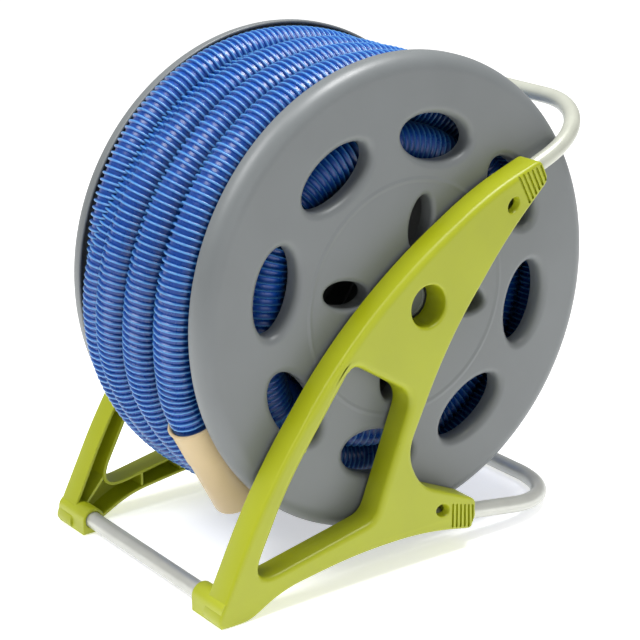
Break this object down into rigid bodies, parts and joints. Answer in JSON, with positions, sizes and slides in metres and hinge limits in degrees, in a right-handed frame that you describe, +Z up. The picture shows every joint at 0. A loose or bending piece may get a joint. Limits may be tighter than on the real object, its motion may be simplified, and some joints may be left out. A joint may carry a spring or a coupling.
{
  "type": "pool hose reel",
  "caption": "Hand-wound reel for corrugated pool vacuum hose: wide dished flanges turning between two ribbed side panels on bent tubes, with a carrying handle.",
  "frame": {"origin": "on the floor, midway between the side panels and midway between the stand's foremost and rearmost points", "axes": "+X along the reel's axle, +Y towards the carrying handle at the back, +Z up; the cuff end of the hose is at the front"},
  "size_m": [0.287, 0.468, 0.4712],
  "materials": {
    "lime_plastic": "satin moulded plastic",
    "grey_plastic": "satin moulded plastic",
    "tube_metal": "satin anodised",
    "handle_metal": "pale satin lacquer",
    "steel": "zinc plated",
    "black_plastic": "moulded",
    "blue_hose": "satin, finely corrugated",
    "ivory_plastic": "satin moulded plastic"
  },
  "bodies": {
    "stand": {"side_panel_right": "lime_plastic", "side_panel_left": "lime_plastic", "front_tube": "tube_metal", "handle_tube": "handle_metal", "rear_tube": "tube_metal", "handle_screw_right": "steel", "handle_screw_left": "steel", "rear_screw_right": "steel", "rear_screw_left": "steel", "hub_bush_right": "black_plastic", "hub_bush_left": "black_plastic"},
    "reel": {"flange_right": "grey_plastic", "flange_left": "grey_plastic", "drum": "grey_plastic", "tie_rod": "steel", "tie_nut_right": "steel", "tie_nut_left": "steel", "tie_washer_right": "steel", "tie_washer_left": "steel", "axle_cap_right": "grey_plastic", "axle_cap_left": "grey_plastic", "hose_winding": "blue_hose", "hose_end": "blue_hose", "hose_cuff": "ivory_plastic"}
  },
  "joints": [
    {"name": "reel_spin", "type": "hinge", "parent": "stand", "child": "reel", "pos_m": [0, -0.005, 0.25], "axis": [1, 0, 0], "continuous": true}
  ]
}
